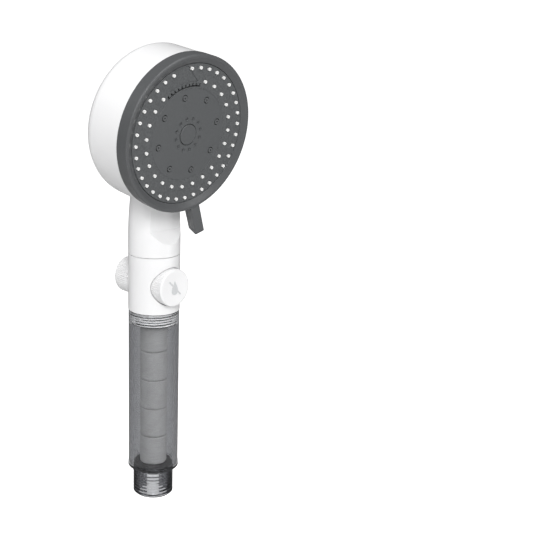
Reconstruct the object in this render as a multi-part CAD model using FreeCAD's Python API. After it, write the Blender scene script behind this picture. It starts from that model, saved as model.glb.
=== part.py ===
# Handheld shower head with a filter handle, in millimetres.
# +Z runs up the handle, the spray face looks towards -Y and tilts down.
# The origin is the centre of the inlet thread's lower end face.
import FreeCAD, Part
import math
import os

os.makedirs("parts", exist_ok=True)

V = FreeCAD.Vector
UP = V(0, 0, 1)
ALONG_Y = V(0, 1, 0)
EPS = 0.5                      # how far a cutter runs past the face it cuts
FIT = 0.05                     # gap between parts that are pushed together
SLIP = 0.1                     # gap between parts that slip together
PICK = 0.01                    # how near an edge must lie to be picked
THREAD_HALF = 0.42             # groove half width at the cutter's back, in pitches
THREAD_PAST = 0.2              # how far a groove cutter stands out of the surface

# ---- driving dimensions: inlet thread and filter tube ----
G_MAJOR = 10.4775              # G1/2 major radius
G_PITCH = 1.814
G_DEPTH = 1.0                  # groove depth, a little under the full form
G_RUNOUT_Z = 13.2              # groove that the inlet thread ends in
INLET_BORE = 7.6
INLET_CHAMFER = 0.8
SHOULDER_Z = 15.75             # lower face of the tube's flange
TUBE_R = 12.92
TUBE_BORE = 10.7
TUBE_FLOOR_Z = 16.8
TUBE_TOP_Z = 101.1
TUBE_BEAD = 0.28               # how far the lower bead stands out
TUBE_BEAD_H = 1.6
SOCKET_BORE = 11.55            # wider bore over the threaded spigot
SOCKET_Z = 94.5

# ---- filter cartridge ----
SEGMENTS = 5
SEGMENT_GAP = 0.1
SEGMENT_LOW_EDGE = 1.3
SEGMENT_TOP_EDGE = 0.4
FILTER_R = 7.0
CORE_R = 2.4
CORE_BORE = 1.6
CORE_HOLE_R = 0.45
CORE_HOLE_PITCH = 5.2
SEAT_H = 0.8
SEAT_R = 10.2
SEAT_BORE = 2.0
SEAT_SLOTS = 6
SEAT_SLOT_R = 1.1
FILTER_BOTTOM_Z = TUBE_FLOOR_Z + FIT + SEAT_H
FILTER_TOP_Z = 95.4
CAP_H = 1.6
CAP_NIPPLE_R = 5.2
CAP_NIPPLE_TOP = 103.0
CAP_SIDE_GAP = 0.3             # room round the cap in the spigot
CAP_TOP_GAP = 0.2

# ---- valve collar ----
COLLAR_R = 13.14
COLLAR_BOTTOM_Z = 101.7
SEAM_Z = 130.7
SEAM_GAP = 0.25
SPIGOT_R = 11.3
SPIGOT_PITCH = 1.25
SPIGOT_DEPTH = 0.55
SPIGOT_LEAD = 0.3              # plain length before the thread starts
SPIGOT_BOTTOM_Z = 94.8
SPIGOT_TOP_Z = 105.2
SPIGOT_PLUG_R = 9.5
SPIGOT_BORE = 5.3
TUBE_SEAL_R = 12.2
TUBE_SEAL_WIRE = 0.45
TUBE_SEAL_Z = 101.6
NECK_PLUG_R = 9.8
NECK_PLUG_TOP = 137.6
WATER_R = 2.5
NECK_GROOVE_Z = 134.0
NECK_GROOVE_H = 1.6
NECK_GROOVE_DEPTH = 1.3
NECK_SEAL_WIRE = 0.7
NECK_SEAL_INSET = 0.6
VALVE_Z = 115.7                # height of the push button axis
WEB_Y = 4.2                    # half thickness of the wall between the button pockets
HUB_R = 6.0
HUB_Y = 9.0

# ---- push buttons ----
BUTTON_R = 9.5
BUTTON_CLEAR = 0.3
BUTTON_PRESSED_Y = 16.08       # outer face of a button that is pushed in
BUTTON_TRAVEL = 4.34
BUTTON_LEN = 11.5
BUTTON_WALL = 1.6
BUTTON_FACE = 2.0
BUTTON_EDGE = 0.7
DISH_R = 90.0                  # hollow of the finger face
DISH_DEPTH = 0.35
KNURL_COUNT = 56
KNURL_R = 0.26
KNURL_OUT = 0.05               # knurl centres stand outside the button by this
KNURL_TOP = 0.9                # plain band above the knurl
SPOOL_R = 4.0
SPOOL_FIT = 0.05
SPOOL_NECK_R = 2.0
SPOOL_NECK_LEN = 3.4
SEAL_WIRE = 0.6
SEAL_PROUD = 0.02
SEAL_GROOVE_HALF = 0.7
FRONT_SEAL_Y = -3.6
REAR_SEAL_Y = 7.9

# ---- neck ----
NECK_TOP_R = 12.2
NECK_STRAIGHT_Z = 139.0
NECK_TOP_Z = 172.0
NECK_TAPER_Z = 158.0
NECK_BULGE = 0.28              # share of the taper used up half way
NECK_BORE = 6.2
NECK_SOCKET_R = 10.0
NECK_SOCKET_TOP = 138.0
RELIEF_Y = 8.3                 # depth of the flat thumb relief from the axis
RELIEF_LOW_Z = 137.2
RELIEF_HIGH_Z = 143.8
PIPE_R = 6.0
PIPE_BORE = 4.2
PIPE_BOTTOM_Z = 138.2
PIPE_TOP_Z = 170.0
PIPE_PORT_TOP_Z = 174.0

# ---- head: the face plane is z = 0 in the head's own frame ----
FACE_Y = -24.7
FACE_Z = 192.5
FACE_TILT = 9.16               # degrees that the face looks down
FACE_TURN = 15.0               # degrees that the selector is turned at rest
SHELL_R = 38.0
SHELL_FRONT = -6.6
SHELL_BACK = -33.0
SHELL_EDGE = 7.0
SHELL_WALL = 2.2
RING_R = 38.25
RING_BACK = -6.3
RING_FRONT = 0.74
RING_EDGE = 0.6
RIM_TOP_R = 36.6
RIM_LOW_R = 34.0
RIM_GAP = 0.3                  # fine groove between the rim and the face
RING_WALL = 2.3
FACE_TOP = -0.7
FACE_LOW = -2.9
FACE_FLANGE_R = 35.8
FACE_FLANGE_LOW = -4.6
DISC_R = 22.2
DISC_GAP = 0.06
OUTER_RING_R = 31.7
OUTER_RING_COUNT = 36
INNER_RING_R = 25.65
INNER_RING_COUNT = 24
INNER_GAP_HALF = 1             # positions left out on each side of the inner gap
TIP_HOLE_R = 1.0
TIP_BASE_R = 0.9
TIP_TOP_R = 0.76
TIP_TOP = -0.05
TIP_BORE = 0.3
MAT_TOP = -2.95
MAT_LOW = -4.2
MAT_IN_R = 24.2
MAT_OUT_R = 33.4
MASSAGE_RING_R = 18.3
MASSAGE_COUNT = 8
MASSAGE_POCKET_R = 1.6
MASSAGE_BASE_R = 1.5
MASSAGE_TIP_R = 1.2
MASSAGE_TOP = -0.45
MASSAGE_BORE = 0.45
MASSAGE_WEB = 2.4
MIST_RING_R = 7.65
MIST_COUNT = 12
MIST_R = 0.3
MIST_POCKET_R = 0.9
MIST_POCKET_DEPTH = 0.35
SKIRT_OUT_R = 6.6
SKIRT_IN_R = 5.8
CENTRE_R = 4.9
CENTRE_H = 1.5
CENTRE_PROUD = 0.3
CENTRE_EDGE = 0.3
CENTRE_HOLE_R = 5.2
SLOT_IN_R = 22.9
SLOT_OUT_R = 23.5
SLOT_HALF = 25.0               # degrees each side of the gap
COMB_COUNT = 10
COMB_OUT_R = 24.6
COMB_W = 0.8
COMB_MARGIN = 1.5              # degrees from a slot end to its last notch
FAN_IN_R = 25.1
FAN_OUT_R = 33.2
FAN_BASE_R = 24.0
FAN_IN_HALF = 8.6
FAN_OUT_HALF = 3.6
FAN_DEPTH = 0.35
PLATE_R = 35.2
PLATE_FRONT = -5.0
PLATE_BACK = -9.2
PLATE_WALL_OUT_R = 35.6
PLATE_WALL_IN_R = 33.7
PORT_RING_R = 20.0
PORT_R = 2.6
PORT_STEP = 30.0
PORT_COUNT = 4
HUB_BORE = 4.55
POST_R = 4.5
POST_FRONT = -4.9
BASE_R = 33.0
BASE_FRONT = -11.0
BASE_BACK = -18.0
BASE_GROOVE_DEPTH = 1.4
BASE_GROOVE_BACK = -13.5
BASE_GROOVE_FRONT = -11.7
BASE_SEAL_Y = -12.6
BASE_SEAL_WIRE = 0.75
BASE_SEAL_INSET = 0.6
BOSS_R = 7.4
BOSS_BOTTOM_Z = 164.5
BOSS_TOP_Z = 176.0
PORT_POCKET_R = 5.0
PORT_POCKET_LOW = -16.5
PORT_SEAL_LOW = -13.5
PORT_SEAL_GAP = 0.15
PORT_SPRING_R = 3.7
PORT_SPRING_WIRE = 0.3
PORT_SPRING_PITCH = 1.3
DETENT_RING_R = 24.0
DETENT_DEPTH = 5.0
BALL_R = 1.6
BALL_BITE = 0.7                # how far the ball stands into its track
TRACK_HALF = 1.45              # half width of the ball's track
TRACK_TURN = 50.0              # degrees that the track runs each side
DIMPLE_DEPTH = 0.45            # how far a dimple lies under the track
DETENT_SPRING_R = 1.1
DETENT_SPRING_WIRE = 0.2
DETENT_SPRING_PITCH = 0.8
SCREW_R = 1.6
SCREW_HEAD_R = 3.6
SCREW_HEAD_H = 1.5
WASHER_R = 5.2
WASHER_H = 0.5
SCREW_LEN = 9.0
SCREW_SLOT_HALF = 2.2
SCREW_SLOT_W = 0.8
SCREW_SLOT_FLOOR = 0.6

# ---- lever ----
LEVER_W = 5.8
LEVER_ROOT_R = 36.6
LEVER_TIP_R = 52.7
LEVER_FRONT_ROOT = 0.0
LEVER_FRONT_TIP = 2.6
LEVER_THICK = 5.6
LEVER_UNDERCUT = 2.3           # how far the tip's back edge lies inside its front edge
LEVER_ROUND = 0.7


def save(name, shape):
    shape.exportStep("parts/" + name + ".step")


def cyl(radius, low, high, x=0.0, y=0.0):
    return Part.makeCylinder(radius, high - low, V(x, y, low), UP)


def ring(outer, inner, low, high):
    return cyl(outer, low, high).cut(cyl(inner, low - EPS, high + EPS))


def cyl_y(radius, low, high, z=VALVE_Z):
    return Part.makeCylinder(radius, high - low, V(0, low, z), ALONG_Y)


def box(x0, x1, y0, y1, z0, z1):
    return Part.makeBox(x1 - x0, y1 - y0, z1 - z0, V(x0, y0, z0))


def polar(radius, degrees):
    # Angle counted from the head frame's +Y, turning towards -X.
    turn = math.radians(degrees)
    return -radius * math.sin(turn), radius * math.cos(turn)


def revolve(points):
    # Closed outline of (radius, height) corners turned about the Z axis.
    corners = [V(r, 0, z) for r, z in points]
    wire = Part.makePolygon(corners + [corners[0]])
    return Part.Face(wire).revolve(V(0, 0, 0), UP, 360)


def torus_z(radius, wire, z):
    return Part.makeTorus(radius, wire, V(0, 0, z), UP)


def in_head(shape, turned=False):
    # Puts a shape from the head's own frame into the object's frame.
    moved = shape.copy()
    if turned:
        moved.rotate(V(0, 0, 0), UP, FACE_TURN)
    moved.rotate(V(0, 0, 0), V(1, 0, 0), 90 + FACE_TILT)
    moved.translate(V(0, FACE_Y, FACE_Z))
    return moved


def helix_groove(surface_r, tip_r, pitch, low, high):
    # V-shaped cutter that winds along a cylinder, with its tip at tip_r.
    path = Part.makeHelix(pitch, high - low, surface_r)
    half = THREAD_HALF * pitch
    past = surface_r + math.copysign(THREAD_PAST, surface_r - tip_r)
    tip = V(tip_r, 0, 0)
    edge_low = V(past, 0, -half)
    edge_high = V(past, 0, half)
    profile = Part.makePolygon([tip, edge_low, edge_high, tip])
    cutter = Part.Wire(path.Edges).makePipeShell([profile], True, True)
    cutter.translate(V(0, 0, low))
    return cutter


def arc(outer, inner, low, high, half):
    # Part of a ring, half degrees to each side of +Y.
    wedge = Part.makeCylinder(2 * outer, high - low, V(0, 0, low), UP, 2 * half)
    wedge.rotate(V(0, 0, 0), UP, 90 - half)
    return ring(outer, inner, low, high).common(wedge)


def spring(radius, wire, pitch, low, high):
    # Coil of fine wire with an eight-sided section.
    sides = 8
    path = Part.makeHelix(pitch, high - low - 2 * wire, radius)
    section = []
    for corner in range(sides + 1):
        turn = 2 * math.pi * corner / sides
        section.append(V(radius + wire * math.cos(turn), 0, wire * math.sin(turn)))
    profile = Part.makePolygon(section)
    coil = Part.Wire(path.Edges).makePipeShell([profile], True, True)
    coil.translate(V(0, 0, low + wire))
    return coil


# ---- filter handle ----

def filter_tube():
    body = cyl(TUBE_R, SHOULDER_Z, TUBE_TOP_Z)
    body = body.fuse(cyl(TUBE_R + TUBE_BEAD, SHOULDER_Z, SHOULDER_Z + TUBE_BEAD_H))
    body = body.cut(cyl(TUBE_BORE, TUBE_FLOOR_Z, TUBE_TOP_Z + EPS))
    body = body.cut(cyl(SOCKET_BORE, SOCKET_Z, TUBE_TOP_Z + EPS))
    socket_low = SOCKET_Z + SPIGOT_PITCH / 2
    socket_high = TUBE_TOP_Z - SPIGOT_PITCH / 2
    socket_root = SOCKET_BORE + SPIGOT_DEPTH
    body = body.cut(helix_groove(SOCKET_BORE, socket_root, SPIGOT_PITCH, socket_low, socket_high))
    thread = cyl(G_MAJOR, 0, SHOULDER_Z + EPS)
    tip_r = G_MAJOR - INLET_CHAMFER
    thread = thread.common(revolve([(0, 0), (tip_r, 0), (G_MAJOR, INLET_CHAMFER),
                                    (G_MAJOR, SHOULDER_Z + EPS), (0, SHOULDER_Z + EPS)]))
    root_r = G_MAJOR - G_DEPTH
    thread = thread.cut(helix_groove(G_MAJOR, root_r, G_PITCH, INLET_CHAMFER, G_RUNOUT_Z))
    half = THREAD_HALF * G_PITCH
    past = G_MAJOR + THREAD_PAST
    thread = thread.cut(revolve([(root_r, G_RUNOUT_Z), (past, G_RUNOUT_Z - half),
                                 (past, G_RUNOUT_Z + half)]))
    body = body.fuse(thread)
    return body.cut(cyl(INLET_BORE, -EPS, TUBE_FLOOR_Z + EPS))


def filter_segment(index):
    height = (FILTER_TOP_Z - FILTER_BOTTOM_Z) / SEGMENTS
    low = FILTER_BOTTOM_Z + index * height
    high = low + height - SEGMENT_GAP
    body = cyl(FILTER_R, low, high)
    lower = [e for e in body.Edges if abs(e.BoundBox.ZMax - low) < PICK]
    body = body.makeFillet(SEGMENT_LOW_EDGE, lower)
    upper = [e for e in body.Edges if abs(e.BoundBox.ZMin - high) < PICK]
    body = body.makeFillet(SEGMENT_TOP_EDGE, upper)
    return body.cut(cyl(CORE_R + SLIP, low - EPS, high + EPS))


def filter_core():
    core = ring(CORE_R, CORE_BORE, FILTER_BOTTOM_Z, FILTER_TOP_Z - SEGMENT_GAP)
    holes = []
    rows = int((FILTER_TOP_Z - FILTER_BOTTOM_Z) / CORE_HOLE_PITCH)
    for row in range(rows):
        z = FILTER_BOTTOM_Z + (row + 0.5) * CORE_HOLE_PITCH
        for direction in (V(1, 0, 0), ALONG_Y):
            start = V(0, 0, z) - direction * (CORE_R + EPS)
            holes.append(Part.makeCylinder(CORE_HOLE_R, 2 * (CORE_R + EPS), start, direction))
    return core.cut(holes)


def filter_seat():
    low = TUBE_FLOOR_Z + FIT
    seat = ring(SEAT_R, SEAT_BORE, low, low + SEAT_H)
    slots = []
    for count in range(SEAT_SLOTS):
        x, y = polar(SEAT_R, count * 360.0 / SEAT_SLOTS)
        slots.append(cyl(SEAT_SLOT_R, low - EPS, low + SEAT_H + EPS, x, y))
    return seat.cut(slots)


def filter_cap():
    low = FILTER_TOP_Z - SEGMENT_GAP
    cap = cyl(FILTER_R, low, low + CAP_H)
    cap = cap.fuse(cyl(CAP_NIPPLE_R, low, CAP_NIPPLE_TOP))
    return cap.cut(cyl(CORE_BORE, low - EPS, CAP_NIPPLE_TOP + EPS))


# ---- valve collar ----

def filter_spigot():
    body = cyl(SPIGOT_R, SPIGOT_BOTTOM_Z, COLLAR_BOTTOM_Z)
    groove_low = SPIGOT_BOTTOM_Z + SPIGOT_LEAD
    groove_high = COLLAR_BOTTOM_Z - SPIGOT_PITCH
    root_r = SPIGOT_R - SPIGOT_DEPTH
    body = body.cut(helix_groove(SPIGOT_R, root_r, SPIGOT_PITCH, groove_low, groove_high))
    body = body.fuse(cyl(SPIGOT_PLUG_R, COLLAR_BOTTOM_Z - EPS, SPIGOT_TOP_Z))
    body = body.cut(cyl(SPIGOT_BORE, SPIGOT_BOTTOM_Z - EPS, SPIGOT_TOP_Z + EPS))
    cap_room = FILTER_TOP_Z + CAP_H + CAP_TOP_GAP
    return body.cut(cyl(FILTER_R + CAP_SIDE_GAP, SPIGOT_BOTTOM_Z - EPS, cap_room))


def tube_seal():
    return torus_z(TUBE_SEAL_R, TUBE_SEAL_WIRE, TUBE_SEAL_Z)


def valve_body():
    body = cyl(COLLAR_R, COLLAR_BOTTOM_Z, SEAM_Z)
    body = body.fuse(cyl(NECK_PLUG_R, SEAM_Z - EPS, NECK_PLUG_TOP))
    body = body.cut(cyl(SPIGOT_PLUG_R + FIT, COLLAR_BOTTOM_Z - EPS, SPIGOT_TOP_Z))
    body = body.cut(torus_z(TUBE_SEAL_R, TUBE_SEAL_WIRE, TUBE_SEAL_Z))
    pocket = BUTTON_R + BUTTON_CLEAR
    for low, high in ((-2 * COLLAR_R, -WEB_Y), (WEB_Y, 2 * COLLAR_R)):
        body = body.cut(cyl_y(pocket, low, high))
    body = body.fuse(cyl_y(HUB_R, -HUB_Y, HUB_Y))
    body = body.cut(cyl_y(SPOOL_R + SPOOL_FIT, -HUB_Y - EPS, HUB_Y + EPS))
    body = body.cut(cyl(WATER_R, SPIGOT_TOP_Z - EPS, NECK_PLUG_TOP + EPS))
    groove_low = NECK_GROOVE_Z - NECK_GROOVE_H / 2
    groove_high = NECK_GROOVE_Z + NECK_GROOVE_H / 2
    groove = ring(NECK_PLUG_R + EPS, NECK_PLUG_R - NECK_GROOVE_DEPTH, groove_low, groove_high)
    return body.cut(groove)


def neck_seal():
    return torus_z(NECK_PLUG_R - NECK_SEAL_INSET, NECK_SEAL_WIRE, NECK_GROOVE_Z)


# ---- push button valve: everything here slides along Y as one ----

def button():
    # Cup with its outer face at z = 0 and its open end at z = -BUTTON_LEN.
    cup = cyl(BUTTON_R, -BUTTON_LEN, 0)
    top = [e for e in cup.Edges if abs(e.BoundBox.ZMin) < PICK]
    cup = cup.makeFillet(BUTTON_EDGE, top)
    cup = cup.cut(cyl(BUTTON_R - BUTTON_WALL, -BUTTON_LEN - EPS, -BUTTON_FACE))
    dish = Part.makeSphere(DISH_R, V(0, 0, DISH_R - DISH_DEPTH))
    cup = cup.cut(dish)
    ribs = []
    for count in range(KNURL_COUNT):
        x, y = polar(BUTTON_R + KNURL_OUT, count * 360.0 / KNURL_COUNT)
        ribs.append(cyl(KNURL_R, -BUTTON_LEN - EPS, -KNURL_TOP, x, y))
    return cup.cut(ribs)


def front_button():
    cup = button()
    cup.rotate(V(0, 0, 0), V(1, 0, 0), 90)
    cup.translate(V(0, -BUTTON_PRESSED_Y, VALVE_Z))
    return cup


def rear_button():
    cup = button()
    cup.rotate(V(0, 0, 0), V(1, 0, 0), -90)
    cup.translate(V(0, BUTTON_PRESSED_Y + BUTTON_TRAVEL, VALVE_Z))
    return cup


def valve_spool():
    front = -BUTTON_PRESSED_Y + BUTTON_FACE
    rear = BUTTON_PRESSED_Y + BUTTON_TRAVEL - BUTTON_FACE
    rod = cyl_y(SPOOL_R, front, rear)
    low = BUTTON_TRAVEL - SPOOL_NECK_LEN / 2
    high = BUTTON_TRAVEL + SPOOL_NECK_LEN / 2
    neck = cyl_y(SPOOL_R + EPS, low, high).cut(cyl_y(SPOOL_NECK_R, low - EPS, high + EPS))
    rod = rod.cut(neck)
    for y in (FRONT_SEAL_Y, REAR_SEAL_Y):
        floor_r = SPOOL_R - 2 * SEAL_WIRE
        groove = cyl_y(SPOOL_R + EPS, y - SEAL_GROOVE_HALF, y + SEAL_GROOVE_HALF)
        groove = groove.cut(cyl_y(floor_r, y - BUTTON_LEN, y + BUTTON_LEN))
        rod = rod.cut(groove)
    return rod


def spool_seal(y):
    centre = SPOOL_R + SEAL_PROUD - SEAL_WIRE
    return Part.makeTorus(centre, SEAL_WIRE, V(0, y, VALVE_Z), ALONG_Y)


# ---- neck and head shell ----

def neck_outline():
    mid_z = (NECK_STRAIGHT_Z + NECK_TAPER_Z) / 2
    mid_r = COLLAR_R - (COLLAR_R - NECK_TOP_R) * NECK_BULGE
    bottom = SEAM_Z + SEAM_GAP
    edges = [
        Part.makeLine(V(0, 0, bottom), V(COLLAR_R, 0, bottom)),
        Part.makeLine(V(COLLAR_R, 0, bottom), V(COLLAR_R, 0, NECK_STRAIGHT_Z)),
        Part.Arc(V(COLLAR_R, 0, NECK_STRAIGHT_Z), V(mid_r, 0, mid_z),
                 V(NECK_TOP_R, 0, NECK_TAPER_Z)).toShape(),
        Part.makeLine(V(NECK_TOP_R, 0, NECK_TAPER_Z), V(NECK_TOP_R, 0, NECK_TOP_Z)),
        Part.makeLine(V(NECK_TOP_R, 0, NECK_TOP_Z), V(0, 0, NECK_TOP_Z)),
        Part.makeLine(V(0, 0, NECK_TOP_Z), V(0, 0, bottom)),
    ]
    return Part.Face(Part.Wire(edges)).revolve(V(0, 0, 0), UP, 360)


def thumb_relief():
    # Flat wall with an inclined floor, cut into the front of the neck.
    wide = 2 * COLLAR_R
    slope = (COLLAR_R - RELIEF_Y) / (RELIEF_HIGH_Z - RELIEF_LOW_Z)
    far_z = RELIEF_LOW_Z - (wide - COLLAR_R) / slope
    corners = [V(-wide, -RELIEF_Y, RELIEF_HIGH_Z), V(-wide, -RELIEF_Y, NECK_TOP_Z + EPS),
               V(-wide, -wide, NECK_TOP_Z + EPS), V(-wide, -wide, far_z)]
    outline = Part.makePolygon(corners + [corners[0]])
    return Part.Face(outline).extrude(V(2 * wide, 0, 0))


def shell_outline(inset):
    front = SHELL_FRONT + (EPS if inset else 0)
    side = SHELL_R - inset
    back = SHELL_BACK + inset
    edge = SHELL_EDGE - inset
    bulge = edge * (1 - math.sqrt(0.5))
    corner = V(side - bulge, 0, back + bulge)
    edges = [
        Part.makeLine(V(0, 0, front), V(side, 0, front)),
        Part.makeLine(V(side, 0, front), V(side, 0, back + edge)),
        Part.Arc(V(side, 0, back + edge), corner, V(side - edge, 0, back)).toShape(),
        Part.makeLine(V(side - edge, 0, back), V(0, 0, back)),
        Part.makeLine(V(0, 0, back), V(0, 0, front)),
    ]
    return Part.Face(Part.Wire(edges)).revolve(V(0, 0, 0), UP, 360)


def head_shell():
    neck = neck_outline().cut(thumb_relief())
    behind = in_head(cyl(4 * SHELL_R, 4 * SHELL_BACK, SHELL_BACK))
    neck = neck.cut(behind)
    body = in_head(shell_outline(0)).fuse(neck)
    body = body.cut(in_head(shell_outline(SHELL_WALL)))
    body = body.cut(cyl(NECK_SOCKET_R, SEAM_Z, NECK_SOCKET_TOP))
    return body.cut(cyl(NECK_BORE, NECK_SOCKET_TOP - EPS, NECK_TOP_Z + EPS))


def neck_pipe():
    return ring(PIPE_R, PIPE_BORE, PIPE_BOTTOM_Z, PIPE_TOP_Z)


def diverter():
    base = in_head(cyl(BASE_R, BASE_BACK, BASE_FRONT))
    base = base.fuse(in_head(cyl(POST_R, BASE_FRONT - EPS, POST_FRONT)))
    base = base.fuse(cyl(BOSS_R, BOSS_BOTTOM_Z, BOSS_TOP_Z))
    base = base.cut(in_head(cyl(SCREW_R, POST_FRONT - SCREW_LEN, POST_FRONT + EPS)))
    base = base.cut(cyl(PIPE_R + FIT, PIPE_BOTTOM_Z, PIPE_TOP_Z))
    base = base.cut(cyl(PIPE_BORE, PIPE_TOP_Z - EPS, PIPE_PORT_TOP_Z))
    base = base.cut(in_head(cyl(PORT_POCKET_R, PORT_POCKET_LOW, BASE_FRONT + EPS, 0, -PORT_RING_R)))
    base = base.cut(in_head(cyl(PORT_R, BASE_BACK - EPS, BASE_FRONT, 0, -PORT_RING_R)))
    detent_low = BASE_FRONT - DETENT_DEPTH
    pocket = cyl(BALL_R + SLIP, detent_low, BASE_FRONT + EPS, 0, DETENT_RING_R)
    base = base.cut(in_head(pocket))
    groove_r = BASE_R - BASE_GROOVE_DEPTH
    groove = ring(BASE_R + EPS, groove_r, BASE_GROOVE_BACK, BASE_GROOVE_FRONT)
    return base.cut(in_head(groove))


def base_seal():
    return in_head(torus_z(BASE_R - BASE_SEAL_INSET, BASE_SEAL_WIRE, BASE_SEAL_Y))


def port_seal():
    side = PORT_POCKET_R - PORT_SEAL_GAP
    cup = cyl(side, PORT_SEAL_LOW, PLATE_BACK - SLIP, 0, -PORT_RING_R)
    return in_head(cup.cut(cyl(PORT_R, BASE_BACK, 0, 0, -PORT_RING_R)))


def port_spring():
    coil = spring(PORT_SPRING_R, PORT_SPRING_WIRE, PORT_SPRING_PITCH, PORT_POCKET_LOW, PORT_SEAL_LOW)
    coil.translate(V(0, -PORT_RING_R, 0))
    return in_head(coil)


def detent_ball():
    centre = PLATE_BACK - BALL_R + BALL_BITE
    return in_head(Part.makeSphere(BALL_R, V(0, DETENT_RING_R, centre)))


def detent_spring():
    low = BASE_FRONT - DETENT_DEPTH
    high = PLATE_BACK - 2 * BALL_R + BALL_BITE
    coil = spring(DETENT_SPRING_R, DETENT_SPRING_WIRE, DETENT_SPRING_PITCH, low, high)
    coil.translate(V(0, DETENT_RING_R, 0))
    return in_head(coil)


def centre_screw():
    seat = POST_FRONT + WASHER_H
    head = cyl(SCREW_HEAD_R, seat, seat + SCREW_HEAD_H)
    screw = head.fuse(cyl(SCREW_R, POST_FRONT - SCREW_LEN + EPS, seat + EPS))
    slots = []
    half = SCREW_SLOT_HALF
    side = SCREW_SLOT_W / 2
    floor = seat + SCREW_SLOT_FLOOR
    for angle in (0, 90):
        slot = box(-half, half, -side, side, floor, seat + SCREW_HEAD_H + EPS)
        slot.rotate(V(0, 0, 0), UP, angle)
        slots.append(slot)
    return in_head(screw.cut(slots))


def centre_washer():
    return in_head(ring(WASHER_R, SCREW_R + SLIP, POST_FRONT, POST_FRONT + WASHER_H))


# ---- selector: everything below turns about the face axis ----

def nozzle_places():
    places = []
    for count in range(1, OUTER_RING_COUNT):
        places.append(polar(OUTER_RING_R, count * 360.0 / OUTER_RING_COUNT))
    first = INNER_GAP_HALF + 1
    for count in range(first, INNER_RING_COUNT - INNER_GAP_HALF):
        places.append(polar(INNER_RING_R, count * 360.0 / INNER_RING_COUNT))
    return places


def selector_ring():
    inner = RING_R - RING_WALL
    corner = RING_EDGE * (1 - math.sqrt(0.5))
    body = revolve([(RING_R, RING_BACK), (RING_R, RING_FRONT - RING_EDGE),
                    (RING_R - corner, RING_FRONT - corner),
                    (RING_R - RING_EDGE, RING_FRONT), (RIM_TOP_R, RING_FRONT),
                    (RIM_LOW_R, FACE_TOP), (RIM_LOW_R, FACE_LOW),
                    (inner, FACE_LOW), (inner, RING_BACK)])
    return in_head(body.fuse(lever()).removeSplitter(), turned=True)


def lever():
    # Side outline in the Y-Z plane of the head frame, pulled out to its width.
    half = LEVER_W / 2
    corners = [V(-half, -LEVER_ROOT_R, LEVER_FRONT_ROOT),
               V(-half, -LEVER_TIP_R, LEVER_FRONT_TIP),
               V(-half, -LEVER_TIP_R + LEVER_UNDERCUT, LEVER_FRONT_TIP - LEVER_THICK),
               V(-half, -LEVER_ROOT_R, LEVER_FRONT_ROOT - LEVER_THICK)]
    outline = Part.makePolygon(corners + [corners[0]])
    body = Part.Face(outline).extrude(V(LEVER_W, 0, 0))
    outer = [e for e in body.Edges if e.BoundBox.YMin < -LEVER_ROOT_R - 1]
    return body.makeFillet(LEVER_ROUND, outer)


def comb_slot():
    # Arc-shaped waterfall outlet with its comb of small notches.
    low = FACE_LOW - EPS
    high = FACE_TOP + EPS
    slot = arc(SLOT_OUT_R, SLOT_IN_R, low, high, SLOT_HALF)
    last = SLOT_HALF - COMB_MARGIN
    for count in range(COMB_COUNT):
        notch = box(-COMB_W / 2, COMB_W / 2, SLOT_IN_R + EPS, COMB_OUT_R, low, high)
        notch.rotate(V(0, 0, 0), UP, -last + count * 2 * last / (COMB_COUNT - 1))
        slot = slot.fuse(notch)
    return slot


def fan_relief():
    floor = FACE_TOP - FAN_DEPTH
    corners = [V(-FAN_IN_HALF, FAN_BASE_R, floor), V(FAN_IN_HALF, FAN_BASE_R, floor),
               V(FAN_OUT_HALF, FAN_OUT_R, floor), V(-FAN_OUT_HALF, FAN_OUT_R, floor)]
    outline = Part.makePolygon(corners + [corners[0]])
    solid = Part.Face(outline).extrude(V(0, 0, 2 * FAN_DEPTH))
    return solid.cut(cyl(FAN_IN_R, FACE_LOW, EPS))


def spray_face():
    body = cyl(RIM_LOW_R - RIM_GAP, FACE_LOW, FACE_TOP)
    body = body.fuse(cyl(FACE_FLANGE_R, FACE_FLANGE_LOW, FACE_LOW))
    body = body.cut(cyl(MAT_OUT_R + SLIP, FACE_FLANGE_LOW - EPS, FACE_LOW))
    body = body.cut(cyl(DISC_R, FACE_FLANGE_LOW - EPS, FACE_TOP + EPS))
    holes = []
    for x, y in nozzle_places():
        holes.append(cyl(TIP_HOLE_R, FACE_LOW - EPS, FACE_TOP + EPS, x, y))
    body = body.cut(holes)
    body = body.cut(comb_slot())
    return in_head(body.cut(fan_relief()), turned=True)


def nozzle_mat():
    mat = ring(MAT_OUT_R, MAT_IN_R, MAT_LOW, MAT_TOP)
    mat = mat.cut(comb_slot().translated(V(0, 0, MAT_TOP - FACE_TOP)))
    tips = []
    bores = []
    for x, y in nozzle_places():
        tips.append(Part.makeCone(TIP_BASE_R, TIP_TOP_R, TIP_TOP - MAT_LOW, V(x, y, MAT_LOW), UP))
        bores.append(cyl(TIP_BORE, MAT_LOW - EPS, EPS, x, y))
    return in_head(mat.fuse(tips).cut(bores), turned=True)


def jet_insert():
    body = ring(DISC_R - DISC_GAP, CENTRE_HOLE_R, FACE_LOW, FACE_TOP)
    cuts = []
    for count in range(MASSAGE_COUNT):
        x, y = polar(MASSAGE_RING_R, count * 360.0 / MASSAGE_COUNT)
        cuts.append(cyl(MASSAGE_POCKET_R, FACE_LOW - EPS, FACE_TOP + EPS, x, y))
    for count in range(MIST_COUNT):
        x, y = polar(MIST_RING_R, count * 360.0 / MIST_COUNT)
        cuts.append(cyl(MIST_R, FACE_LOW - EPS, FACE_TOP + EPS, x, y))
        cuts.append(cyl(MIST_POCKET_R, FACE_TOP - MIST_POCKET_DEPTH, FACE_TOP + EPS, x, y))
    body = body.cut(cuts)
    skirt = ring(SKIRT_OUT_R, SKIRT_IN_R, PLATE_FRONT, FACE_LOW)
    return in_head(body.fuse(skirt), turned=True)


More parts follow.
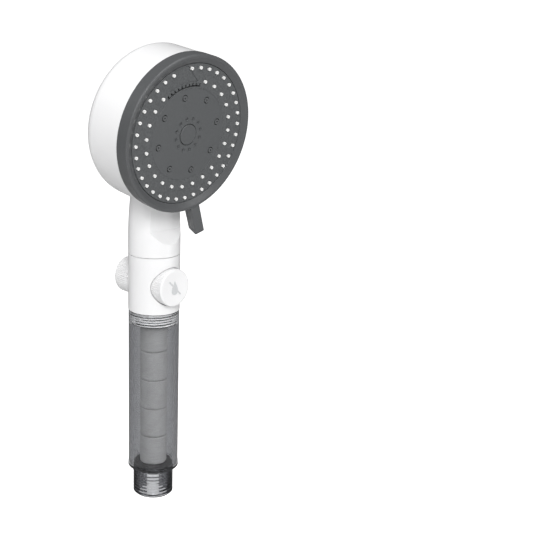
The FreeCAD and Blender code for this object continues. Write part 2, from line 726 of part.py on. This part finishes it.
def massage_nozzles():
    web = ring(MASSAGE_RING_R + MASSAGE_WEB, MASSAGE_RING_R - MASSAGE_WEB, MAT_LOW, MAT_TOP)
    tips = []
    bores = []
    for count in range(MASSAGE_COUNT):
        x, y = polar(MASSAGE_RING_R, count * 360.0 / MASSAGE_COUNT)
        base = V(x, y, MAT_LOW)
        tips.append(Part.makeCone(MASSAGE_BASE_R, MASSAGE_TIP_R, MASSAGE_TOP - MAT_LOW, base, UP))
        bores.append(cyl(MASSAGE_BORE, MAT_LOW - EPS, EPS, x, y))
    return in_head(web.fuse(tips).cut(bores), turned=True)


def centre_cap():
    high = FACE_TOP + CENTRE_PROUD
    cap = cyl(CENTRE_R, high - CENTRE_H, high)
    top = [e for e in cap.Edges if abs(e.BoundBox.ZMin - high) < PICK]
    cap = cap.makeFillet(CENTRE_EDGE, top)
    return in_head(cap, turned=True)


def distributor():
    plate = cyl(PLATE_R, PLATE_BACK, PLATE_FRONT)
    wall = ring(PLATE_WALL_OUT_R, PLATE_WALL_IN_R, PLATE_FRONT - EPS, FACE_FLANGE_LOW)
    plate = plate.fuse(wall)
    plate = plate.cut(cyl(HUB_BORE, PLATE_BACK - EPS, PLATE_FRONT + EPS))
    track_out = DETENT_RING_R + TRACK_HALF
    track_in = DETENT_RING_R - TRACK_HALF
    floor = PLATE_BACK + BALL_BITE + FIT
    cuts = [arc(track_out, track_in, PLATE_BACK - EPS, floor, TRACK_TURN)]
    dimple_z = floor - BALL_R + DIMPLE_DEPTH
    for count in range(PORT_COUNT):
        offset = (count - (PORT_COUNT - 1) / 2) * PORT_STEP
        x, y = polar(PORT_RING_R, 180 + offset)
        cuts.append(cyl(PORT_R, PLATE_BACK - EPS, PLATE_FRONT + EPS, x, y))
        x, y = polar(DETENT_RING_R, offset)
        cuts.append(Part.makeSphere(BALL_R, V(x, y, dimple_z)))
    return in_head(plate.cut(cuts), turned=True)


def build():
    save("filter_tube", filter_tube())
    for index in range(SEGMENTS):
        save("filter_segment_" + str(index + 1), filter_segment(index))
    save("filter_core", filter_core())
    save("filter_seat", filter_seat())
    save("filter_cap", filter_cap())
    save("filter_spigot", filter_spigot())
    save("tube_seal", tube_seal())
    save("valve_body", valve_body())
    save("neck_seal", neck_seal())
    save("front_button", front_button())
    save("rear_button", rear_button())
    save("valve_spool", valve_spool())
    save("spool_seal_front", spool_seal(FRONT_SEAL_Y))
    save("spool_seal_rear", spool_seal(REAR_SEAL_Y))
    save("head_shell", head_shell())
    save("neck_pipe", neck_pipe())
    save("diverter", diverter())
    save("base_seal", base_seal())
    save("port_seal", port_seal())
    save("port_spring", port_spring())
    save("detent_ball", detent_ball())
    save("detent_spring", detent_spring())
    save("centre_screw", centre_screw())
    save("centre_washer", centre_washer())
    save("selector_ring", selector_ring())
    save("spray_face", spray_face())
    save("nozzle_mat", nozzle_mat())
    save("jet_insert", jet_insert())
    save("massage_nozzles", massage_nozzles())
    save("centre_cap", centre_cap())
    save("distributor", distributor())


build()
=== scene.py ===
"""Handheld shower head with a clear filter handle, dressed for a plain studio picture.

The CAD nodes keep their shapes and get their finishes here. The small added pieces are the
raised pictograms on the two push buttons. Everything is in metres in the CAD frame.
"""
import math

import bpy
from mathutils import Matrix, Vector


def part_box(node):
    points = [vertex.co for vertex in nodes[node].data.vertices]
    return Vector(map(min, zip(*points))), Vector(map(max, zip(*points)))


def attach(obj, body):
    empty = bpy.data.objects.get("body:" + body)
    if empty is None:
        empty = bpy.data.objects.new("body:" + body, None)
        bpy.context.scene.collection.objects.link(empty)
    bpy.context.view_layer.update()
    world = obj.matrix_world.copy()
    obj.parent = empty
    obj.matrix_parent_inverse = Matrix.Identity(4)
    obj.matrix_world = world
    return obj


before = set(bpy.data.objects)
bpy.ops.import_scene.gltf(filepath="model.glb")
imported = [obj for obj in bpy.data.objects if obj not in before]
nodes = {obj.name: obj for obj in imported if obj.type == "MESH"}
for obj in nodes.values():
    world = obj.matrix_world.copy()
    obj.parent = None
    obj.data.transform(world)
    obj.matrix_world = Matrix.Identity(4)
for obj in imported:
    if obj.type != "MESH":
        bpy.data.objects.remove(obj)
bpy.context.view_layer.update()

# ---- camera, fixed to the handle axis (the Z axis) and the inlet face (z = 0) ----
CAM_AZIMUTH = -40.54           # degrees round from the front, towards -X
CAM_DISTANCE = 0.510           # from the handle axis
CAM_HEIGHT = 0.263
CAM_PITCH = 15.31              # degrees that it looks down
CAM_HEADING = -39.42
CAM_LENS = 70.9
CAM_SENSOR = 36.0
CAM_SHIFT_X = 0.248            # the handset stands left of the frame's centre

FLOOR_Z = -0.11
FLOOR_SIZE = 40.0
FLOOR_TONES = ((0.90, 0.90, 0.90), (0.92, 0.92, 0.92))
FLOOR_PATCH = 0.4              # size of the patches of its two tones
FLOOR_ROUGH = 0.8
FLOOR_GLOW = 0.9               # keeps the floor white; it lights only what the handle holds
FLOOR_MIRRORED = (0.45, 0.45, 0.45)     # its colour in reflections
SKY_LIGHT = 0.30               # as a light on everything outside the handle
SKY_SEEN = 1.0                 # as it is seen, and as a light on what the handle holds
SKY_MIRRORED = 0.12            # in reflections, so that the handle's edges stay dark

# ---- lights: azimuth, elevation, distance, width, height, power ----
LIGHTS_AIM = (0, 0, 0.13)
SOFTBOXES = {
    "key": (-38, 33, 0.9, 0.35, 0.35, 5.4),
    "left": (-100, 40, 0.9, 0.6, 0.6, 2.3),
    "top": (0, 80, 0.9, 0.6, 0.6, 2.5),
    "side_right": (25, 12, 0.8, 0.25, 0.8, 1.4),
}

# ---- colours, linear ----
WHITE = (0.80, 0.80, 0.805)
SILICONE_WHITE = (0.86, 0.86, 0.85)
DARK = (0.080, 0.083, 0.086)
DARK_FACE = (0.082, 0.086, 0.089)
ICON_GREY = (0.56, 0.57, 0.58)
CLEAR = (0.96, 0.962, 0.965)
SMOKE = (0.44, 0.445, 0.46)    # what the clear plastic absorbs towards
SMOKE_DENSITY = 640.0          # per metre
FILTER = (0.55, 0.55, 0.545)   # darker than white fibre, because the handle doesn't shade it
FILTER_STAIN = (0.40, 0.39, 0.38)
CORE_GREY = (0.05, 0.05, 0.052)
SEAL = (0.018, 0.018, 0.018)
STEEL = (0.60, 0.60, 0.61)
INNER_WHITE = (0.74, 0.74, 0.73)
SPIGOT_WHITE = (0.92, 0.92, 0.915)

PLASTIC_IOR = 1.49
COAT_ROUGH = 0.12

# ---- pictograms ----
ICON_THICK = 0.00036
ICON_SINK = 0.00030            # the middle of a button's dished face lies this deep
DROP_HEIGHT = 0.36             # in button widths
DROP_WIDTH = 0.40              # half width before the taper, in drop heights
DROP_TAPER = 1.5               # how sharply the drop narrows to its point
BAR_LENGTH = 1.5               # in drop heights
BAR_WIDTH = 0.08
BAR_THICK = 1.3                # in drop thicknesses
BAR_TURN = -45


# ---- node helpers ----

class Surface:
    """A Principled material with short calls for the parts that the finishes share."""

    def __init__(self, name):
        self.mat = bpy.data.materials.new(name)
        self.mat.use_nodes = True
        self.tree = self.mat.node_tree
        self.bsdf = self.tree.nodes["Principled BSDF"]
        self.coords = self.add("ShaderNodeTexCoord").outputs["Object"]

    def add(self, kind, **settings):
        node = self.tree.nodes.new(kind)
        for key, value in settings.items():
            setattr(node, key, value)
        return node

    def link(self, source, target):
        self.tree.links.new(source, target)

    def noise(self, size, detail=3.0, stretch=(1, 1, 1)):
        """Noise whose blobs are about `size` metres across."""
        scale = self.add("ShaderNodeMapping")
        scale.inputs["Scale"].default_value = stretch
        self.link(self.coords, scale.inputs["Vector"])
        node = self.add("ShaderNodeTexNoise")
        node.inputs["Scale"].default_value = 1.0 / size
        node.inputs["Detail"].default_value = detail
        self.link(scale.outputs["Vector"], node.inputs["Vector"])
        return node.outputs["Fac"]

    def spread(self, value, low, high, start=0.3, end=0.7):
        node = self.add("ShaderNodeMapRange")
        node.inputs["From Min"].default_value = start
        node.inputs["From Max"].default_value = end
        node.inputs["To Min"].default_value = low
        node.inputs["To Max"].default_value = high
        self.link(value, node.inputs["Value"])
        return node.outputs["Result"]

    def mix(self, factor, first, second):
        node = self.add("ShaderNodeMix", data_type="RGBA")
        self.link(factor, node.inputs["Factor"])
        for socket, colour in ((node.inputs["A"], first), (node.inputs["B"], second)):
            if isinstance(colour, tuple):
                socket.default_value = (*colour, 1.0)
            else:
                self.link(colour, socket)
        return node.outputs["Result"]

    def bevel(self, radius):
        node = self.add("ShaderNodeBevel", samples=4)
        node.inputs["Radius"].default_value = radius
        return node.outputs["Normal"]

    def edges(self, rounded):
        """A mask that is 1 on sharp edges and 0 on open faces."""
        flat = self.add("ShaderNodeNewGeometry").outputs["Normal"]
        dot = self.add("ShaderNodeVectorMath", operation="DOT_PRODUCT")
        self.link(rounded, dot.inputs[0])
        self.link(flat, dot.inputs[1])
        return self.spread(dot.outputs["Value"], 1.0, 0.0, start=0.86, end=0.99)

    def bump(self, height, depth, normal=None, strength=1.0):
        node = self.add("ShaderNodeBump")
        node.inputs["Distance"].default_value = depth
        node.inputs["Strength"].default_value = strength
        self.link(height, node.inputs["Height"])
        if normal is not None:
            self.link(normal, node.inputs["Normal"])
        return node.outputs["Normal"]


def shade(colour, factor):
    return tuple(min(1.0, c * factor) for c in colour)


def moulded(name, colour, rough, grain, depth, coat=0.0, round_edges=0.00025, wear_and_highlight=1.25,
            speckle=0.0, uneven=0.14):
    """Moulded plastic: faint tone drift, uneven gloss, fine grain, rubbed wear and painted edge
    highlights.
    """
    s = Surface(name)
    drift = s.noise(0.018, 4.0)
    body = s.mix(s.spread(drift, 0.0, 1.0), shade(colour, 0.99), shade(colour, 1.01))
    if speckle:
        spots = s.spread(s.noise(grain * 1.4, 2.0), 0.0, 1.0)
        body = s.mix(spots, shade(colour, 1.0 - speckle), shade(colour, 1.0 + speckle))
    rounded = s.bevel(round_edges)
    worn_and_highlit_edges = s.edges(rounded)
    # edges painted lighter: partly rubbed wear, partly painted highlight lines
    s.link(s.mix(worn_and_highlit_edges, body, shade(colour, wear_and_highlight)), s.bsdf.inputs["Base Color"])
    gloss = s.noise(0.0035, 5.0)
    s.link(s.spread(gloss, rough * (1 - uneven), rough * (1 + uneven)), s.bsdf.inputs["Roughness"])
    s.link(s.bump(s.noise(grain, 2.0), depth, rounded), s.bsdf.inputs["Normal"])
    s.bsdf.inputs["IOR"].default_value = PLASTIC_IOR
    s.bsdf.inputs["Coat Weight"].default_value = coat
    s.bsdf.inputs["Coat Roughness"].default_value = COAT_ROUGH
    return s.mat


def soft(name, colour, rough, subsurface=0.0):
    """Silicone or seal rubber: matt, slightly powdery, a little light passing into it."""
    s = Surface(name)
    dust = s.noise(0.0012, 4.0)
    s.link(s.mix(s.spread(dust, 0.0, 1.0), shade(colour, 0.93), shade(colour, 1.05)),
           s.bsdf.inputs["Base Color"])
    s.link(s.spread(s.noise(0.0006, 3.0), rough * 0.9, rough * 1.1), s.bsdf.inputs["Roughness"])
    s.link(s.bump(s.noise(0.00025, 2.0), 0.00002), s.bsdf.inputs["Normal"])
    s.bsdf.inputs["Subsurface Weight"].default_value = subsurface
    s.bsdf.inputs["Subsurface Radius"].default_value = (1.0, 1.0, 1.0)
    s.bsdf.inputs["Subsurface Scale"].default_value = 0.0005
    return s.mat


def smoky_clear(name):
    """Clear smoky plastic with faint flow lines along the moulding and handling marks."""
    s = Surface(name)
    tint = s.noise(0.012, 3.0, stretch=(1, 1, 0.15))
    s.link(s.mix(s.spread(tint, 0.0, 1.0), shade(CLEAR, 0.985), shade(CLEAR, 1.01)),
           s.bsdf.inputs["Base Color"])
    marks = s.noise(0.0018, 6.0, stretch=(1, 1, 0.35))
    s.link(s.spread(marks, 0.03, 0.075, start=0.45, end=0.75), s.bsdf.inputs["Roughness"])
    flow = s.noise(0.006, 2.0, stretch=(1, 1, 0.12))
    s.link(s.bump(flow, 0.00002, strength=0.5), s.bsdf.inputs["Normal"])
    s.bsdf.inputs["Transmission Weight"].default_value = 1.0
    s.bsdf.inputs["IOR"].default_value = PLASTIC_IOR
    smoke = s.add("ShaderNodeVolumeAbsorption")
    smoke.inputs["Color"].default_value = (*SMOKE, 1.0)
    smoke.inputs["Density"].default_value = SMOKE_DENSITY
    s.link(smoke.outputs["Volume"], s.tree.nodes["Material Output"].inputs["Volume"])
    return s.mat


def filter_fibre(name):
    """Pressed fibre: short strands lying round the cartridge, uneven and slightly stained."""
    s = Surface(name)
    strands = s.noise(0.0009, 6.0, stretch=(0.35, 0.35, 1.6))
    stain = s.noise(0.006, 3.0)
    base = s.mix(s.spread(strands, 0.0, 1.0), shade(FILTER, 0.86), shade(FILTER, 1.1))
    s.link(s.mix(s.spread(stain, 0.0, 0.35, start=0.4, end=0.8), base, FILTER_STAIN),
           s.bsdf.inputs["Base Color"])
    s.link(s.bump(strands, 0.00015), s.bsdf.inputs["Normal"])
    s.bsdf.inputs["Roughness"].default_value = 0.9
    s.bsdf.inputs["Sheen Weight"].default_value = 0.2
    return s.mat


def steel(name):
    """Stainless steel with fine turning marks."""
    s = Surface(name)
    marks = s.noise(0.0004, 4.0, stretch=(1, 0.1, 1))
    s.link(s.mix(s.spread(marks, 0.0, 1.0), shade(STEEL, 0.85), shade(STEEL, 1.1)),
           s.bsdf.inputs["Base Color"])
    s.link(s.spread(marks, 0.2, 0.38), s.bsdf.inputs["Roughness"])
    s.link(s.bump(marks, 0.00001), s.bsdf.inputs["Normal"])
    s.bsdf.inputs["Metallic"].default_value = 1.0
    return s.mat


# ---- finishes on the CAD nodes ----

def finish_nodes():
    white = moulded("white_gloss", WHITE, rough=0.3, grain=0.0009, depth=0.000001,
                    coat=0.3, wear_and_highlight=1.04, uneven=0.04)
    knurl = moulded("white_satin", WHITE, rough=0.36, grain=0.0006, depth=0.000003,
                    wear_and_highlight=1.04, uneven=0.06)
    thread_white = moulded("white_thread", SPIGOT_WHITE, rough=0.3, grain=0.0006, depth=0.000002,
                           wear_and_highlight=1.02, uneven=0.06)
    inner = moulded("white_inner", INNER_WHITE, rough=0.45, grain=0.0006, depth=0.00001, wear_and_highlight=1.05)
    # the ring's strong edge lightening paints highlight lines along its rim edges
    ring = moulded("dark_satin", DARK, rough=0.36, grain=0.0005, depth=0.000006,
                   coat=0.1, round_edges=0.0004, wear_and_highlight=1.7, speckle=0.03)
    grain = moulded("dark_grain", DARK_FACE, rough=0.5, grain=0.00055, depth=0.00009,
                    wear_and_highlight=1.35, speckle=0.2)
    disc = moulded("dark_disc", DARK_FACE, rough=0.42, grain=0.0005, depth=0.00001,
                   wear_and_highlight=1.3, speckle=0.04)
    silicone = soft("white_silicone", SILICONE_WHITE, rough=0.5, subsurface=0.25)
    dark_silicone = soft("dark_silicone", shade(DARK, 1.15), rough=0.55)
    seal = soft("seal_rubber", SEAL, rough=0.5)
    core = moulded("core_grey", CORE_GREY, rough=0.5, grain=0.0005, depth=0.00001)
    tube = smoky_clear("smoky_clear")
    fibre = filter_fibre("filter_fibre")
    metal = steel("stainless")
    finishes = {
        "head_shell": white, "valve_body": white,
        "front_button": knurl, "rear_button": knurl,
        "filter_spigot": thread_white, "neck_pipe": inner, "diverter": inner,
        "distributor": inner, "valve_spool": inner,
        "selector_ring": ring, "spray_face": grain, "jet_insert": disc, "centre_cap": disc,
        "nozzle_mat": silicone, "massage_nozzles": dark_silicone,
        "port_seal": seal, "tube_seal": seal, "neck_seal": seal, "base_seal": seal,
        "spool_seal_front": seal, "spool_seal_rear": seal,
        "filter_core": core, "filter_seat": core, "filter_cap": core,
        "port_spring": metal, "detent_spring": metal, "detent_ball": metal,
        "centre_screw": metal, "centre_washer": metal,
        "filter_tube": tube,
    }
    for name, node in nodes.items():
        finish = fibre if name.startswith("filter_segment") else finishes[name]
        node.data.materials.clear()
        node.data.materials.append(finish)
    # The clear handle casts no shadow, so the light on what it holds isn't dimmed.
    nodes["filter_tube"].visible_shadow = False


# ---- pictograms on the push buttons ----

def drop_outline(size, steps=28):
    """Closed outline of a water drop, `size` tall, point up."""
    points = []
    for count in range(steps):
        turn = 2 * math.pi * count / steps
        width = math.sin(turn) * math.sin(turn / 2) ** DROP_TAPER
        points.append(Vector((DROP_WIDTH * size * width, size / 2 * math.cos(turn))))
    return points


def bar_outline(length, width):
    half = Vector((length / 2, width / 2))
    corners = [(-1, -1), (1, -1), (1, 1), (-1, 1)]
    turned = Matrix.Rotation(math.radians(BAR_TURN), 2)
    return [turned @ Vector((half.x * x, half.y * y)) for x, y in corners]


def raised_shape(name, outlines, thick, place, material, body):
    """Flat raised shapes with a small rounded edge, set on a button's face."""
    curve = bpy.data.curves.new(name, "CURVE")
    curve.dimensions = "2D"
    curve.fill_mode = "BOTH"
    curve.extrude = thick / 2
    curve.bevel_depth = thick * 0.2
    curve.bevel_resolution = 2
    for outline in outlines:
        spline = curve.splines.new("POLY")
        spline.points.add(len(outline) - 1)
        for point, at in zip(spline.points, outline):
            point.co = (at.x, at.y, 0.0, 1.0)
        spline.use_cyclic_u = True
    temp = bpy.data.objects.new(name + "_curve", curve)
    bpy.context.scene.collection.objects.link(temp)
    bpy.context.view_layer.update()
    depsgraph = bpy.context.evaluated_depsgraph_get()
    mesh = bpy.data.meshes.new_from_object(temp.evaluated_get(depsgraph))
    bpy.data.objects.remove(temp)
    mesh.transform(place)
    piece = bpy.data.objects.new(name, mesh)
    bpy.context.scene.collection.objects.link(piece)
    mesh.materials.clear()
    mesh.materials.append(material)
    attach(piece, body)


def pictograms():
    print_grey = moulded("icon_grey", ICON_GREY, rough=0.4, grain=0.0004, depth=0.000005,
                         round_edges=0.00005)
    front_low, front_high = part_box("front_button")
    rear_low, rear_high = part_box("rear_button")
    height = (front_low.z + front_high.z) / 2
    size = (front_high.x - front_low.x) * DROP_HEIGHT
    drop = [drop_outline(size)]
    bar = [bar_outline(size * BAR_LENGTH, size * BAR_WIDTH)]
    upright = Matrix.Rotation(math.radians(90), 4, "X")
    facing_back = Matrix.Rotation(math.radians(180), 4, "Z") @ upright
    front = Matrix.Translation((0, front_low.y + ICON_SINK, height)) @ upright
    rear = Matrix.Translation((0, rear_high.y - ICON_SINK, height)) @ facing_back
    bar_thick = ICON_THICK * BAR_THICK
    raised_shape("icon_drop_front", drop, ICON_THICK, front, print_grey, "stop_valve")
    raised_shape("icon_bar_front", bar, bar_thick, front, print_grey, "stop_valve")
    raised_shape("icon_drop_rear", drop, ICON_THICK, rear, print_grey, "stop_valve")


# ---- studio ----

def brightness(tree, lighting, seen, mirrored):
    """The stage's glow as a light, as it is seen and in reflections.

    Through the clear handle it has the value seen, both to look at and as a light on what is inside.
    """
    path = tree.nodes.new("ShaderNodeLightPath")
    value = None
    views = (("Is Glossy Ray", mirrored), ("Is Transmission Ray", seen), ("Is Camera Ray", seen))
    for ray, amount in views:
        pick = tree.nodes.new("ShaderNodeMix")
        pick.inputs["A"].default_value = lighting
        pick.inputs["B"].default_value = amount
        tree.links.new(path.outputs[ray], pick.inputs["Factor"])
        if value is not None:
            tree.links.new(value, pick.inputs["A"])
        value = pick.outputs["Result"]
    return value


def floor():
    half = FLOOR_SIZE / 2
    corners = [(-half, -half), (half, -half), (half, half), (-half, half)]
    mesh = bpy.data.meshes.new("floor")
    mesh.from_pydata([(x, y, FLOOR_Z) for x, y in corners], [], [(0, 1, 2, 3)])
    obj = bpy.data.objects.new("floor", mesh)
    bpy.context.scene.collection.objects.link(obj)
    s = Surface("floor_white")
    white = s.mix(s.spread(s.noise(FLOOR_PATCH), 0.0, 1.0), *FLOOR_TONES)
    mirrored = brightness(s.tree, 0.0, 0.0, 1.0)
    s.link(s.mix(mirrored, white, FLOOR_MIRRORED), s.bsdf.inputs["Base Color"])
    s.bsdf.inputs["Roughness"].default_value = FLOOR_ROUGH
    s.bsdf.inputs["Emission Color"].default_value = (1, 1, 1, 1)
    glow = brightness(s.tree, 0.0, FLOOR_GLOW, 0.0)
    s.link(glow, s.bsdf.inputs["Emission Strength"])
    mesh.materials.append(s.mat)


def softbox(name, azimuth, elevation, distance, width, height, power, target):
    """Area light on a sphere round the target, facing it."""
    a = math.radians(azimuth)
    e = math.radians(elevation)
    away = Vector((math.sin(a) * math.cos(e), -math.cos(a) * math.cos(e), math.sin(e)))
    data = bpy.data.lights.new(name, "AREA")
    data.shape = "RECTANGLE"
    data.size = width
    data.size_y = height
    data.energy = power
    lamp = bpy.data.objects.new(name, data)
    lamp.location = target + away * distance
    lamp.rotation_euler = away.to_track_quat("Z", "Y").to_euler()
    bpy.context.scene.collection.objects.link(lamp)


def lights():
    for name, settings in SOFTBOXES.items():
        softbox(name, *settings, Vector(LIGHTS_AIM))
    world = bpy.data.worlds.new("studio")
    bpy.context.scene.world = world
    world.use_nodes = True
    tree = world.node_tree
    back = tree.nodes["Background"]
    back.inputs["Color"].default_value = (1.0, 1.0, 1.0, 1.0)
    glow = brightness(tree, SKY_LIGHT, SKY_SEEN, SKY_MIRRORED)
    tree.links.new(glow, back.inputs["Strength"])


def camera():
    a = math.radians(CAM_AZIMUTH)
    data = bpy.data.cameras.new("camera")
    data.lens = CAM_LENS
    data.sensor_width = CAM_SENSOR
    data.shift_x = CAM_SHIFT_X
    data.clip_start = 0.01
    obj = bpy.data.objects.new("camera", data)
    obj.location = (math.sin(a) * CAM_DISTANCE, -math.cos(a) * CAM_DISTANCE, CAM_HEIGHT)
    obj.rotation_euler = (math.radians(90 - CAM_PITCH), 0.0, math.radians(CAM_HEADING))
    bpy.context.scene.collection.objects.link(obj)
    bpy.context.scene.camera = obj


finish_nodes()
pictograms()
floor()
lights()
camera()
bpy.context.scene.view_settings.view_transform = "Standard"
